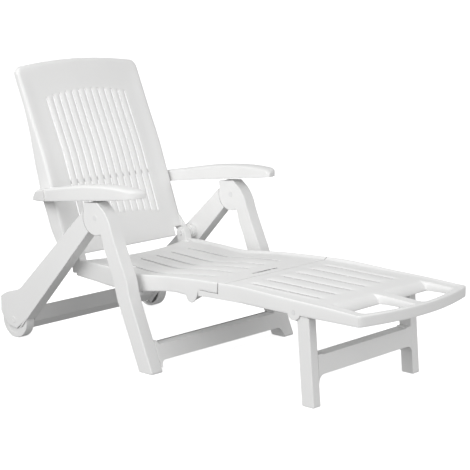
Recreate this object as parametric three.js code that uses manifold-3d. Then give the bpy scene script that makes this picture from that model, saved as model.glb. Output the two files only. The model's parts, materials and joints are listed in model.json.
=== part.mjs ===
// Folding sun lounger in moulded plastic: units mm, +Z up, +X across the width, +Y towards the head end.
// The origin is on the floor at the centre of the footprint. "left" is the -X side, "right" the +X side.
import * as THREE from "three";
import { mergeVertices } from "three/addons/utils/BufferGeometryUtils.js";
import Module from "manifold-3d";

const wasm = await Module();
wasm.setup();

const WALL = 4;
const GAP = 0.3;
const FIT = 0.3;
const SLOT_W = 8;

// Distances from the centre plane.
const LEG_IN = 303;
const LEG_OUT = 352;
const REAR_IN = 304;
const REAR_OUT = 351;
const RAIL_IN = 270;
const RAIL_OUT = 274;
const BACK_IN = 280;
const BACK_OUT = 284;
const LUG_IN = 275.5;
const ARM_IN = 293;
const ARM_OUT = 360;
const EAR_IN = 243;
const ARM_LUG_IN = 256;
const GRIP_OUT = 222;
const FOOT_LEG_IN = 235;
const FOOT_LEG_OUT = 269.2;
const WHEEL_IN = 309.5;
const WHEEL_OUT = 345.5;
const RACK_IN = 322;
const CHEEK = 7;
const TONGUE_W = 33;

// Pivot axes as [y, z].
const APEX = [287, 484];
const BACK_PIVOT = [482, 327];
const FOOTREST_PIVOT = [-76, 266];
const FOOT_LEG_PIVOT = [-505, 285];
const ARM_PIVOT = [614, 516];
const WHEEL = [728, 66];
const SEAT_REST = [160, 236.7];
const CATCH = [336, 521];

const APEX_PIN_R = 9;
const AXLE_R = 8;
const LEG_PIN_R = 7;
const ARM_PIN_R = 7;
const ARM_COLLAR_R = 18;
const SMALL_PIN_R = 6;
const HEAD_R = 58.5;
const NOTCH_R = 60;
const TONGUE_R = 42;
const LUG_SWEEP_R = 69.5;
const SPACER_R = 26;
const WHEEL_R = 66;
const SPOKES = 6;

// Side outlines as [y, z].
const FRONT_EDGE = [[21, 0], [73, 119], [124, 238], [138, 292], [163, 347], [188, 401], [206, 443],
  [218, 476], [235, 502], [252, 519], [268, 531], [276, 537]];
const LUG_EDGE = [[348, 529], [341, 503]];
const FRONT_REAR_EDGE = [[258, 429], [246, 384], [230, 351], [203, 286], [185, 226], [86, 0]];
const REAR_TOP_EDGE = [[344, 504], [518, 344], [680, 193]];
const FENDER_EDGE = [[694, 183], [719, 173], [754, 164], [780, 152], [798, 141], [798, 86]];
const OUTER_FOOT = [[784, 68], [753, 42], [712, 36]];
const INNER_FOOT = [[773, 98], [744, 49], [711, 14]];
const REAR_FRONT_EDGE = [[648, 86], [453, 293], [318, 437]];
const SEAT_TOP = [[474, 304], [455, 307], [316, 306], [174, 301], [109, 308], [5, 318], [-76, 323],
  [-192, 328]];
const SEAT_BOTTOM = [[-19, 268], [30, 265], [88, 256], [151, 246], [211, 240], [289, 238], [369, 244],
  [490, 252]];
const SEAT_PANEL = [[474, 300], [430, 299], [316, 296], [174, 290], [109, 298], [5, 309], [-76, 314],
  [-192, 320]];
const SEAT_RIB = [[430, 297], [316, 294], [174, 288], [109, 296], [5, 307], [-76, 312], [-190, 318],
  [-190, 297], [5, 288], [109, 277], [174, 268], [316, 272], [430, 276]];
const FOOT_TOP = [[-194, 328], [-280, 331], [-452, 325], [-640, 320], [-752, 315]];
const FOOT_BOTTOM = [[-752, 280], [-453, 277], [-289, 278], [-147, 274], [-109, 272], [-109, 291.5],
  [-194, 291.5]];
const FOOT_PANEL = [[-195, 320], [-280, 321], [-452, 319], [-600, 318], [-625, 312], [-638, 300],
  [-641, 288]];
const FOOT_RIB = [[-198, 319], [-198, 298], [-450, 296], [-622, 296], [-622, 309], [-598, 316], [-452, 317],
  [-280, 319]];
const BACK_FRONT = [[763, 966], [754, 944], [719, 864], [671, 755], [625, 656], [585, 548], [529, 399],
  [496, 315]];
const BACK_REAR = [[514, 310], [567, 358], [627, 485], [647, 534], [660, 584], [678, 651], [696, 731],
  [721, 809], [755, 886], [776, 941], [784, 966]];
const ARM_BOTTOM = [[635, 500], [595, 502], [452, 522], [359, 533], [268, 545], [195, 553], [144, 561],
  [103, 570]];
const ARM_TOP = [[97, 577], [105, 586], [130, 594], [195, 599], [283, 595], [374, 585], [436, 574],
  [507, 561], [579, 548], [621, 540], [641, 518]];

// Plan outlines as [x, y].
const BAR_FRONT = [[274, -752], [225, -767], [174, -779], [119, -789], [59, -796], [0, -798]];
const BAR_REAR = [[0, -773], [60, -771], [119, -763], [174, -750], [222, -736], [272, -724]];
const ARM_PLAN = [[300, 97], [318, 99], [340, 107], [354, 122], [360, 144], [360, 440], [346, 540],
  [320, 641]];

const REAR_RIBS = [0.12, 0.3, 0.62, 0.8, 0.97];
const SEAT_SLOTS = [[-161, 0.9], [-75, 1.05], [0, 1], [75, 1.05], [161, 0.9]];
const SEAT_RIBS = [-210, -118, -38, 38, 118, 210];
const SEAT_CROSS_RIBS = [[96, 276, 297], [-42, 284, 310], [-191, 294, 318]];
const FOOT_SLOTS = [-183, -110, -36, 36, 110, 183];
const FOOT_RIBS = [-217, -147, -73, 0, 73, 147, 217];
const BACK_SLOTS = 13;
const BACK_SLOT_PITCH = 31;
const BACK_CROSS_RIBS = [396, 630, 876];
const ARM_RIBS = [170, 400, 450, 500, 550];
const RACK_TEETH = 8;
const RACK_PITCH = 24;

const MATERIALS = {
  shell: { color: 0xe9e9e7, roughness: 0.42 },
  wheel: { color: 0xe2e3e1, roughness: 0.5 },
  pin: { color: 0xdadbd9, roughness: 0.5 },
};

function toManifold(geometry) {
  const clean = geometry.clone();
  clean.deleteAttribute("normal");
  clean.deleteAttribute("uv");
  const merged = mergeVertices(clean, 1e-4);
  return new wasm.Manifold(new wasm.Mesh({
    numProp: 3,
    vertProperties: new Float32Array(merged.attributes.position.array),
    triVerts: new Uint32Array(merged.index.array),
  }));
}

function extrude(points, depth) {
  const shape = new THREE.Shape(points.map(([a, b]) => new THREE.Vector2(a, b)));
  return new THREE.ExtrudeGeometry(shape, { depth, bevelEnabled: false, steps: 1 });
}

// A [y, z] outline carried along X between two distances from the centre plane, on side s (-1 or 1).
function side(s, points, a, b) {
  const x0 = s < 0 ? -b : a;
  const geometry = extrude(points, b - a);
  geometry.applyMatrix4(new THREE.Matrix4().set(0, 0, 1, x0, 1, 0, 0, 0, 0, 1, 0, 0, 0, 0, 0, 1));
  return toManifold(geometry);
}

// A [y, z] outline carried right across, from -half to half.
function across(points, half) {
  return side(1, points, -half, half);
}

// An [x, y] outline carried along Z, with x counted outwards on side s.
function plan(s, points, z0, z1) {
  const geometry = extrude(points.map(([x, y]) => [s * x, y]), z1 - z0);
  geometry.translate(0, 0, z0);
  return toManifold(geometry);
}

// An [x, z] outline carried along Y from y0 to y1.
function front(points, y0, y1) {
  const geometry = extrude(points, y1 - y0);
  geometry.applyMatrix4(new THREE.Matrix4().set(1, 0, 0, 0, 0, 0, -1, y1, 0, 1, 0, 0, 0, 0, 0, 1));
  return toManifold(geometry);
}

function block(x0, x1, y0, y1, z0, z1) {
  const geometry = new THREE.BoxGeometry(x1 - x0, y1 - y0, z1 - z0);
  geometry.translate((x0 + x1) / 2, (y0 + y1) / 2, (z0 + z1) / 2);
  return toManifold(geometry);
}

// A round bar along X between two distances from the centre plane, on side s.
function rod(s, [y, z], radius, a, b, segments = 24) {
  const geometry = new THREE.CylinderGeometry(radius, radius, b - a, segments);
  geometry.rotateZ(Math.PI / 2);
  geometry.translate(s * (a + b) / 2, y, z);
  return toManifold(geometry);
}

function arc([cy, cz], radius, from, to, steps) {
  return Array.from({ length: steps + 1 }, (_, i) => {
    const a = (from + (to - from) * i / steps) * Math.PI / 180;
    return [cy + radius * Math.cos(a), cz + radius * Math.sin(a)];
  });
}

// The polyline moved sideways by d with mitred corners, to its left when d is positive.
function shifted(points, d) {
  const normals = points.slice(1).map((p, i) => {
    const [dx, dy] = [p[0] - points[i][0], p[1] - points[i][1]];
    const length = Math.hypot(dx, dy);
    return [-dy / length, dx / length];
  });
  return points.map((p, i) => {
    const a = normals[Math.max(i - 1, 0)];
    const b = normals[Math.min(i, normals.length - 1)];
    const k = d / (1 + a[0] * b[0] + a[1] * b[1]);
    return [p[0] + (a[0] + b[0]) * k, p[1] + (a[1] + b[1]) * k];
  });
}

// A band of thickness d beside a polyline.
function strip(points, d) {
  return [...points, ...shifted(points, d).reverse()];
}

function union(...solids) {
  return solids.reduce((sum, solid) => sum.add(solid));
}

function between(a, b, t) {
  return [a[0] + (b[0] - a[0]) * t, a[1] + (b[1] - a[1]) * t];
}

function mirrored(points) {
  return points.map(([x, y]) => [-x, y]).reverse();
}

function rearLeg(s) {
  const a = REAR_IN;
  const b = REAR_OUT;
  const outer = [...REAR_TOP_EDGE, ...FENDER_EDGE, ...OUTER_FOOT, ...REAR_FRONT_EDGE];
  const inner = [...REAR_TOP_EDGE, ...INNER_FOOT, ...REAR_FRONT_EDGE];
  let leg = union(
    side(s, outer, b - WALL, b),
    side(s, inner, a, a + WALL),
    side(s, strip([[690, 44], ...REAR_FRONT_EDGE], -5), a, b),
    side(s, strip([REAR_TOP_EDGE[2], ...FENDER_EDGE], -WALL), a, b),
    rod(s, BACK_PIVOT, 16, a, b),
  );
  for (const t of REAR_RIBS) {
    const low = between([318, 437], [648, 86], t);
    const high = between([344, 504], [680, 193], t);
    leg = leg.add(side(s, strip([low, between(low, high, 0.93)], 3), a, b));
  }
  leg = leg.add(rod(s, BACK_PIVOT, SPACER_R, BACK_OUT + GAP, a + 1, 36));
  leg = leg.subtract(rod(s, APEX, NOTCH_R, a - 5, b + 5, 72)).add(rearTongue(s));
  leg = leg.subtract(rod(s, WHEEL, WHEEL_R + 3, a + WALL, b - WALL, 48));
  leg = leg.subtract(rod(s, APEX, APEX_PIN_R + FIT, a - 5, b + 5));
  leg = leg.subtract(rod(s, WHEEL, AXLE_R + FIT, a - 5, b + 5));
  return leg.subtract(rod(s, BACK_PIVOT, AXLE_R + FIT, BACK_OUT - 5, b - WALL));
}

// The disc on the head of the rear leg that sits between the two cheeks of the front leg.
function rearTongue(s) {
  const middle = (LEG_IN + LEG_OUT) / 2;
  const outline = [...arc(APEX, TONGUE_R, -60, -290, 23), [344, 503], [372, 477], [352, 400], [318, 437]];
  return side(s, outline, middle - TONGUE_W / 2, middle + TONGUE_W / 2);
}

function rearStretcher() {
  const half = REAR_IN - GAP;
  const wall = strip([[690, 101], [660, 118], [692, 59], [724, 22], [738, 30]], WALL);
  const gusset = [[662, 117], [692, 61], [724, 23], [737, 31], [716, 90], [690, 100]];
  let bar = across(wall, half).add(across(gusset, 2));
  for (const s of [-1, 1]) {
    bar = bar.add(side(s, gusset, half - 5, half)).add(side(s, gusset, 148, 152));
  }
  return bar;
}

function wheel(s) {
  const rim = rod(s, WHEEL, WHEEL_R, WHEEL_IN, WHEEL_OUT, 64);
  let body = rim.subtract(rod(s, WHEEL, WHEEL_R - 6, WHEEL_IN - 1, WHEEL_OUT - 5, 64));
  body = body.add(rod(s, WHEEL, 15, WHEEL_IN, WHEEL_OUT - 2, 32));
  for (let i = 0; i < SPOKES; i += 1) {
    const [tip] = arc(WHEEL, WHEEL_R - 3, (i + 0.25) * 360 / SPOKES, 0, 1);
    body = body.add(side(s, strip([WHEEL, tip], 4), WHEEL_IN + 3, WHEEL_OUT - 2));
  }
  return body.subtract(rod(s, WHEEL, AXLE_R + FIT, WHEEL_IN - 2, WHEEL_OUT + 2));
}

function frontLegOutline() {
  return [...FRONT_EDGE, ...LUG_EDGE, ...arc(APEX, HEAD_R, 14, -116, 14), ...FRONT_REAR_EDGE];
}

// A channel open to the rear: thin plates on the shin, thicker cheeks round the apex pin.
function frontLeg(s) {
  const inside = shifted(FRONT_EDGE, -5);
  inside[0] = [29, 6];
  const head = [...inside.filter(([, z]) => z > 395), [284, 560], [375, 560], [375, 390], [225, 390]];
  const shin = [...inside.filter(([, z]) => z < 400), [290, 395], [240, 280], [110, 6]];
  let leg = side(s, frontLegOutline(), LEG_IN, LEG_OUT);
  leg = leg.subtract(side(s, head, LEG_IN + CHEEK, LEG_OUT - CHEEK));
  leg = leg.subtract(side(s, shin, LEG_IN + WALL, LEG_OUT - WALL));
  const ribs = union(
    side(s, strip([[30, 62], [110, 62]], 3), LEG_IN + 1, LEG_OUT - 1),
    side(s, strip([[70, 148], [150, 148]], 3), LEG_IN + 1, LEG_OUT - 1),
    side(s, strip([[128, 318], [206, 282]], 3), LEG_IN + 1, LEG_OUT - 1),
    side(s, strip([[160, 352], [240, 352]], 3), LEG_IN + 1, LEG_OUT - 1),
    rod(s, SEAT_REST, 13, LEG_IN + 1, LEG_IN + 14),
  );
  leg = leg.add(ribs.intersect(side(s, [...FRONT_EDGE.slice(0, 8), ...FRONT_REAR_EDGE], LEG_IN, LEG_OUT)));
  leg = leg.subtract(rod(s, APEX, APEX_PIN_R + FIT, LEG_IN - 5, LEG_OUT + 5));
  leg = leg.subtract(rod(s, CATCH, SMALL_PIN_R + FIT, LEG_IN + CHEEK - 4, LEG_OUT - CHEEK + 4));
  return leg.subtract(rod(s, SEAT_REST, AXLE_R + FIT, LEG_IN - 5, LEG_IN + 12));
}

function frontStretcher() {
  const half = LEG_IN - GAP;
  const wall = strip([[86, 73], [58, 85], [37, 37], [66, 25]], WALL);
  const foot = strip([[92, 88], [64.5, 100], [30.5, 22], [60, 10]], WALL);
  const gusset = [[84, 72], [58, 83], [38, 38], [64, 27]];
  let bar = across(wall, half).add(across(gusset, 2));
  for (const s of [-1, 1]) {
    bar = bar.add(side(s, foot, half - 14, half)).add(side(s, gusset, 148, 152));
    bar = bar.add(side(s, [[86, 92], [62, 98], [30, 24], [62, 14]], half - 4, half));
  }
  return bar;
}

// A lengthwise slot in a panel, narrowest or widest at mid length.
function slot(x, y0, y1, waist) {
  const mid = (y0 + y1) / 2;
  const h = SLOT_W / 2;
  const outline = [[x - h, y0], [x + h, y0], [x * waist + h, mid], [x + h, y1], [x - h, y1],
    [x * waist - h, mid]];
  return plan(1, outline, 250, 360);
}

function seatEar(s) {
  const outline = [...arc(BACK_PIVOT, 22, -20, 150, 12), [430, 300], [436, 262], [492, 258]];
  const bore = rod(s, BACK_PIVOT, AXLE_R + FIT, EAR_IN - 5, RAIL_OUT + 5);
  return side(s, outline, EAR_IN, RAIL_OUT).subtract(bore);
}

function seatPanel() {
  const rail = [...SEAT_TOP, [-192, 292.5], [-106, 292.5], [-106, 268],
    ...arc(FOOTREST_PIVOT, 22, 172, 370, 14), ...SEAT_BOTTOM];
  const rearCurve = Array.from({ length: 13 }, (_, i) => {
    const x = (i - 6) * (EAR_IN - 0.5) / 6;
    return [x, 426 + 46 * (x / EAR_IN) ** 2];
  });
  let seat = across(strip(SEAT_PANEL, WALL), RAIL_IN + 1);
  for (const x of SEAT_RIBS) {
    seat = seat.add(side(1, SEAT_RIB, x - 1.5, x + 1.5));
  }
  for (const [y, z0, z1] of SEAT_CROSS_RIBS) {
    seat = seat.add(block(-RAIL_IN - 1, RAIL_IN + 1, y, y + 4, z0, z1));
  }
  seat = seat.subtract(plan(1, [...rearCurve, [EAR_IN - 0.5, 530], [0.5 - EAR_IN, 530]], 240, 340));
  seat = seat.add(plan(1, strip(rearCurve, -WALL), 268, 296));
  for (const s of [-1, 1]) {
    seat = seat.add(side(s, rail, RAIL_IN, RAIL_OUT)).add(seatEar(s));
    seat = seat.subtract(rod(s, FOOTREST_PIVOT, SMALL_PIN_R + FIT, 265, 280));
  }
  for (const [x, waist] of SEAT_SLOTS) {
    seat = seat.subtract(slot(x, -73, 377, waist));
  }
  return seat.subtract(block(-57, 57, -155, -143, 250, 340));
}

// Arms that run back under the seat to the hinge pins.
function hingeArm(s) {
  const outline = [[-240, 318], [-203, 318], [-194, 290], [-110, 289],
    ...arc(FOOTREST_PIVOT, 17, 80, -100, 12), [-120, 273], [-240, 285]];
  return side(s, outline, ARM_LUG_IN, ARM_LUG_IN + 5);
}

function footrestBar() {
  const arcFront = [...BAR_FRONT, ...mirrored(BAR_FRONT).slice(1)];
  const arcRear = [...mirrored(BAR_REAR), ...BAR_REAR.slice(1)];
  const outer = plan(1, [...arcFront, ...arcRear], 280, 315);
  const inset = [arcFront, arcRear].map((edge) => shifted(edge, -WALL).slice(1, -1)).flat();
  return outer.subtract(plan(1, inset, 270, 311));
}

function footrestPanel() {
  let foot = union(across(strip(FOOT_PANEL, WALL), RAIL_IN + 1), footrestBar());
  for (const x of FOOT_RIBS) {
    foot = foot.add(side(1, FOOT_RIB, x - 1.5, x + 1.5));
  }
  foot = foot.add(block(-RAIL_IN - 1, RAIL_IN + 1, -200, -196, 294, 318));
  foot = foot.add(block(-RAIL_IN - 1, RAIL_IN + 1, -404, -400, 296, 318));
  foot = foot.add(block(-22, 22, -775, -634, 296, 316)).subtract(block(-18, 18, -770, -640, 290, 312));
  for (const s of [-1, 1]) {
    foot = union(foot,
      side(s, [...FOOT_TOP, ...FOOT_BOTTOM], RAIL_IN, RAIL_OUT),
      side(s, strip([[-590, 318], [-640, 317], [-745, 314]], WALL), GRIP_OUT, RAIL_IN + 1),
      side(s, [[-590, 316], [-745, 312], [-738, 284], [-640, 284]], GRIP_OUT, GRIP_OUT + WALL),
      rod(s, FOOT_LEG_PIVOT, 24.5, RAIL_IN, RAIL_OUT, 36),
      hingeArm(s),
    );
    foot = foot.subtract(rod(s, FOOTREST_PIVOT, SMALL_PIN_R + FIT, 250, 265));
    foot = foot.subtract(rod(s, FOOT_LEG_PIVOT, LEG_PIN_R + FIT, RAIL_IN - 2, RAIL_OUT + 2));
  }
  for (const x of FOOT_SLOTS) {
    foot = foot.subtract(slot(x, -533, -254, 1));
  }
  return foot;
}

function footLeg(s) {
  const outline = [[-537, 0], [-584, 0], [-561, 270], [-541, 299], ...arc(FOOT_LEG_PIVOT, 24, 120, -70, 14),
    [-515, 258]];
  const pocket = [[-490, 6], [-578.5, 6], [-557, 262], [-490, 262]];
  let leg = side(s, outline, FOOT_LEG_IN, FOOT_LEG_OUT);
  leg = leg.subtract(side(s, pocket, FOOT_LEG_IN + WALL, FOOT_LEG_OUT - WALL));
  const ribs = union(
    side(s, strip([[-590, 84], [-520, 84]], 3), FOOT_LEG_IN, FOOT_LEG_OUT),
    side(s, strip([[-590, 174], [-500, 174]], 3), FOOT_LEG_IN, FOOT_LEG_OUT),
  );
  leg = leg.add(ribs.intersect(side(s, outline, FOOT_LEG_IN, FOOT_LEG_OUT)));
  return leg.subtract(rod(s, FOOT_LEG_PIVOT, LEG_PIN_R + FIT, FOOT_LEG_IN - 5, FOOT_LEG_OUT + 5));
}

function footStretcher() {
  const half = FOOT_LEG_IN - GAP;
  const wall = strip([[-545, 155], [-570.2, 155], [-575.6, 95], [-550, 95]], WALL);
  const gusset = [[-545, 153], [-569, 153], [-574, 97], [-550, 97]];
  let bar = across(wall, half).add(across(gusset, 2));
  for (const s of [-1, 1]) {
    bar = bar.add(side(s, gusset, half - 4, half)).add(side(s, gusset, 116, 120));
    bar = bar.add(side(s, [[-545, 97], [-574.5, 97], [-577, 78], [-548, 78]], half - 8, half));
  }
  return bar;
}

// The outline of the backrest seen from the front, narrowed all round by d.
function backrestOutline(d) {
  const half = BACK_OUT - d;
  const arch = Array.from({ length: 15 }, (_, i) => {
    const x = (7 - i) / 7 * (half - 12);
    return [x, 966 - d - 20 * (x / half) ** 2];
  });
  return [[half, 280], [half, 930 - d], [half - 4, 941 - d], ...arch, [4 - half, 941 - d], [-half, 930 - d],
    [-half, 280]];
}

function backrestPanel() {
  const profile = across([...BACK_FRONT, ...BACK_REAR], BACK_OUT)
    .intersect(front(backrestOutline(0), 400, 900));
  const skin = shifted(BACK_FRONT, WALL).slice(0, -1);
  const hollow = across([...skin, [501.5, 318], [900, 318], [900, 980]], BACK_OUT);
  let back = profile.subtract(hollow.intersect(front(backrestOutline(WALL), 400, 900)));
  for (const z of BACK_CROSS_RIBS) {
    back = back.add(profile.intersect(block(-BACK_OUT, BACK_OUT, 400, 900, z, z + 4)));
  }
  for (let i = 0; i < BACK_SLOTS - 1; i += 1) {
    const x = (i - (BACK_SLOTS - 2) / 2) * BACK_SLOT_PITCH;
    back = back.add(side(1, strip(BACK_FRONT.slice(1, 7), 12), x - 1.5, x + 1.5));
  }
  for (const s of [-1, 1]) {
    back = back.subtract(block(...(s < 0 ? [-LUG_IN, -239] : [239, LUG_IN]), 440, 640, 290, 352));
    back = back.add(backrestLug(s)).subtract(rod(s, BACK_PIVOT, AXLE_R + FIT, LUG_IN - 5, BACK_OUT + 5));
    back = back.subtract(rod(s, ARM_PIVOT, ARM_PIN_R + FIT, BACK_OUT - 8, BACK_OUT + 5));
  }
  return backrestSlots().reduce((panel, cut) => panel.subtract(cut), back);
}

function backrestLug(s) {
  return side(s, [...arc(BACK_PIVOT, 22, 70, 280, 18), [516, 312], [566, 358], [518, 380]], LUG_IN, BACK_OUT);
}

function backrestSlots() {
  return Array.from({ length: BACK_SLOTS }, (_, i) => {
    const x = (i - (BACK_SLOTS - 1) / 2) * BACK_SLOT_PITCH;
    const rise = 19 * (1 - (x / 186) ** 2);
    const h = SLOT_W / 2;
    const [low, high] = [410 + rise, 841 + rise];
    return front([[x - h, low], [x + h, low], [x + h, high], [x - h, high]], 400, 900);
  });
}

function armrest(s) {
  const rear = [[ARM_IN, 641], [ARM_IN, 104]];
  const outline = plan(s, [...ARM_PLAN, ...rear], 480, 620);
  const inset = plan(s, [...shifted(ARM_PLAN, WALL), [ARM_IN + WALL, 637], [ARM_IN + WALL, 105]], 480, 620);
  const body = side(s, [...ARM_BOTTOM, ...ARM_TOP], ARM_IN, ARM_OUT).intersect(outline);
  const under = [...shifted(ARM_TOP.slice(2, -1), -WALL), [637, 520], [660, 470], [90, 470], [101.5, 584]];
  const hollow = side(s, under, ARM_IN, ARM_OUT).intersect(inset);
  const ribs = ARM_RIBS.reduce((sum, y) => sum.add(side(s, [[y, 530], [y + 3, 530], [y + 3, 610], [y, 610]],
    ARM_IN, ARM_OUT)), rack(s)).intersect(body);
  const lugSweep = rod(s, APEX, LUG_SWEEP_R, LEG_IN + CHEEK, LEG_OUT - CHEEK, 48);
  let arm = body.subtract(hollow).add(ribs.subtract(lugSweep));
  arm = arm.add(rod(s, ARM_PIVOT, 15, ARM_IN, ARM_IN + 20));
  return arm.subtract(rod(s, ARM_PIVOT, ARM_PIN_R + FIT, ARM_IN - 2, ARM_IN + 16));
}

// The pin's collar fills the gap between the backrest's side and the armrest.
function armPin(s) {
  const collar = rod(s, ARM_PIVOT, ARM_COLLAR_R, BACK_OUT + GAP, ARM_IN - GAP);
  return rod(s, ARM_PIVOT, ARM_PIN_R, BACK_IN - 3, ARM_IN + 15.5).add(collar);
}

// A toothed web under the top of the armrest; its notches are the backrest's stops.
function rack(s) {
  const teeth = Array.from({ length: RACK_TEETH }, (_, i) => {
    const y = 150 + i * RACK_PITCH;
    const z = 562 - (y - 150) * 0.125;
    return [[y, z], [y + 10, z + 11], [y + 14, z + 11], [y + RACK_PITCH - 2, z - 2]];
  }).flat();
  return side(s, [...teeth, [350, 620], [150, 620]], RACK_IN, RACK_IN + 11);
}

const BUILDERS = {
  rear_leg: { make: rearLeg, material: "shell" },
  wheel_axle: { make: (s) => rod(s, WHEEL, AXLE_R, REAR_IN + GAP, REAR_OUT + 1), material: "pin" },
  hinge_axle: { make: (s) => rod(s, BACK_PIVOT, AXLE_R, EAR_IN - 4, REAR_OUT - WALL - 0.5), material: "pin" },
  apex_pin: { make: (s) => rod(s, APEX, APEX_PIN_R, LEG_IN - 1, LEG_OUT + 1), material: "pin" },
  wheel: { make: wheel, material: "wheel" },
  front_leg: { make: frontLeg, material: "shell" },
  seat_rest_pin: { make: (s) => rod(s, SEAT_REST, AXLE_R, 264, LEG_IN + 11.5), material: "pin" },
  catch_pin: {
    make: (s) => rod(s, CATCH, SMALL_PIN_R, LEG_IN + CHEEK - 3.5, LEG_OUT - CHEEK + 3.5),
    material: "pin",
  },
  footrest_pin: { make: (s) => rod(s, FOOTREST_PIVOT, SMALL_PIN_R, 251, RAIL_OUT - 0.5), material: "pin" },
  foot_leg: { make: footLeg, material: "shell" },
  foot_leg_pin: { make: (s) => rod(s, FOOT_LEG_PIVOT, LEG_PIN_R, 232, RAIL_OUT + 0.5), material: "pin" },
  arm_pin: { make: armPin, material: "pin" },
  armrest: { make: armrest, material: "shell" },
};

const SINGLES = {
  rear_stretcher: rearStretcher,
  front_stretcher: frontStretcher,
  seat_panel: seatPanel,
  footrest_panel: footrestPanel,
  foot_stretcher: footStretcher,
  backrest_panel: backrestPanel,
};

function addPart(group, name, solid, material) {
  const mesh = solid.getMesh();
  const geometry = new THREE.BufferGeometry();
  geometry.setAttribute("position", new THREE.BufferAttribute(new Float32Array(mesh.vertProperties), 3));
  geometry.setIndex(new THREE.BufferAttribute(new Uint32Array(mesh.triVerts), 1));
  geometry.computeVertexNormals();
  const part = new THREE.Mesh(geometry, new THREE.MeshStandardMaterial(MATERIALS[material]));
  part.name = name;
  group.add(part);
}

function build() {
  const group = new THREE.Group();
  group.name = "sun_lounger";
  for (const [name, { make, material }] of Object.entries(BUILDERS)) {
    addPart(group, `${name}_left`, make(-1), material);
    addPart(group, `${name}_right`, make(1), material);
  }
  for (const [name, make] of Object.entries(SINGLES)) {
    addPart(group, name, make(), "shell");
  }
  return group;
}

export default build();
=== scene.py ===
import json
import math

import bmesh
import bpy
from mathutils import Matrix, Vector


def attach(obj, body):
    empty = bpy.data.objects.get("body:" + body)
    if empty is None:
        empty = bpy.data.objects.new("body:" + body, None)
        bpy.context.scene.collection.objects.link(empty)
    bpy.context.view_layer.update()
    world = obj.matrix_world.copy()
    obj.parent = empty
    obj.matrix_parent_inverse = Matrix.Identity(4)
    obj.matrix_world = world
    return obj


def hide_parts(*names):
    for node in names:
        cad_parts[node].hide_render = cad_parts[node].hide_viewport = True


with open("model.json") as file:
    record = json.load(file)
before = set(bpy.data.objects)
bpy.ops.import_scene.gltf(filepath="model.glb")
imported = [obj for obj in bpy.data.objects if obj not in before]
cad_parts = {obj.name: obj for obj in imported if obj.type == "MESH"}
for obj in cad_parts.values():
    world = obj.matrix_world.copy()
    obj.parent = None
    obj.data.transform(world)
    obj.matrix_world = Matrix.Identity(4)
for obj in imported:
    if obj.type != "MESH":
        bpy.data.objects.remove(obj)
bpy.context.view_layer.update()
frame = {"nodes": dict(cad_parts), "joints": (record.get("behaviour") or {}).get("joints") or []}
MM = 0.001

# Pivot axes as (y, z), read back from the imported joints, in millimetres.
JOINTS = {j["name"]: (j["pos_m"][1] / MM, j["pos_m"][2] / MM) for j in frame["joints"]}
APEX = JOINTS["front_frame_fold"]
BACK_PIVOT = JOINTS["recline"]
FOOTREST_PIVOT = JOINTS["footrest_fold"]
FOOT_LEG_PIVOT = JOINTS["foot_leg_fold"]
ARM_PIVOT = JOINTS["armrest_left_lift"]
WHEEL = JOINTS["wheel_left_spin"]


# ---------------------------------------------------------------- curves and outlines
SHARE = 0.45  # the most of a side that one rounded corner takes
MITRE = 0.35  # least value of 1 + cos(turn) in a mitre, so a very sharp corner stays near


def curve_at(points, t):
    """Height at t of a smooth curve through the points, cubic between them and straight past the ends."""
    pts = sorted(points)
    xs, ys = [p[0] for p in pts], [p[1] for p in pts]
    n = len(pts)
    if t <= xs[0]:
        return ys[0] + (ys[1] - ys[0]) / (xs[1] - xs[0]) * (t - xs[0])
    if t >= xs[-1]:
        return ys[-1] + (ys[-1] - ys[-2]) / (xs[-1] - xs[-2]) * (t - xs[-1])
    k = next(i for i in range(n - 1) if xs[i] <= t <= xs[i + 1])
    d = [(ys[i + 1] - ys[i]) / (xs[i + 1] - xs[i]) for i in range(n - 1)]

    def slope(i):
        if i == 0:
            return d[0]
        if i == n - 1:
            return d[-1]
        return (d[i - 1] + d[i]) / 2

    h = xs[k + 1] - xs[k]
    u = (t - xs[k]) / h
    return (ys[k] * (1 + 2 * u) * (1 - u) ** 2 + ys[k + 1] * u * u * (3 - 2 * u)
            + slope(k) * h * u * (1 - u) ** 2 - slope(k + 1) * h * u * u * (1 - u))


def spline(points, per=4):
    """A smooth open line through the points, Catmull-Rom, `per` steps a span."""
    out = []
    for i in range(len(points) - 1):
        p1, p2 = Vector(points[i]), Vector(points[i + 1])
        p0 = Vector(points[i - 1]) if i else p1 * 2 - p2
        p3 = Vector(points[i + 2]) if i + 2 < len(points) else p2 * 2 - p1
        for k in range(per):
            t = k / per
            out.append(tuple(0.5 * ((2 * p1) + (p2 - p0) * t + (2 * p0 - 5 * p1 + 4 * p2 - p3) * t * t
                                    + (3 * p1 - p0 - 3 * p2 + p3) * t ** 3)))
    out.append(tuple(points[-1]))
    return out


def arc(centre, radius, start, end, steps):
    return [(centre[0] + radius * math.cos(math.radians(start + (end - start) * i / steps)),
             centre[1] + radius * math.sin(math.radians(start + (end - start) * i / steps)))
            for i in range(steps + 1)]


def fillet(points, radius, steps=4, least=25):
    """The closed outline, with each corner rounded that turns by at least `least` degrees."""
    out = []
    n = len(points)
    for i in range(n):
        p, a, b = (Vector(points[j % n]) for j in (i, i - 1, i + 1))
        u, v = (a - p), (b - p)
        lu, lv = u.length, v.length
        if lu < 1e-6 or lv < 1e-6:
            continue
        u, v = u / lu, v / lv
        turn = math.pi - math.acos(max(-1, min(1, u.dot(v))))
        if turn < math.radians(least):
            out.append(tuple(p))
            continue
        cut = min(radius * math.tan(turn / 2), lu * SHARE, lv * SHARE)
        s, e = p + u * cut, p + v * cut
        for k in range(steps + 1):
            t = k / steps
            out.append(tuple(s * (1 - t) ** 2 + p * (2 * t * (1 - t)) + e * t * t))
    return out


def area(points):
    return sum(points[i - 1][0] * points[i][1] - points[i][0] * points[i - 1][1]
               for i in range(len(points))) / 2


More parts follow.
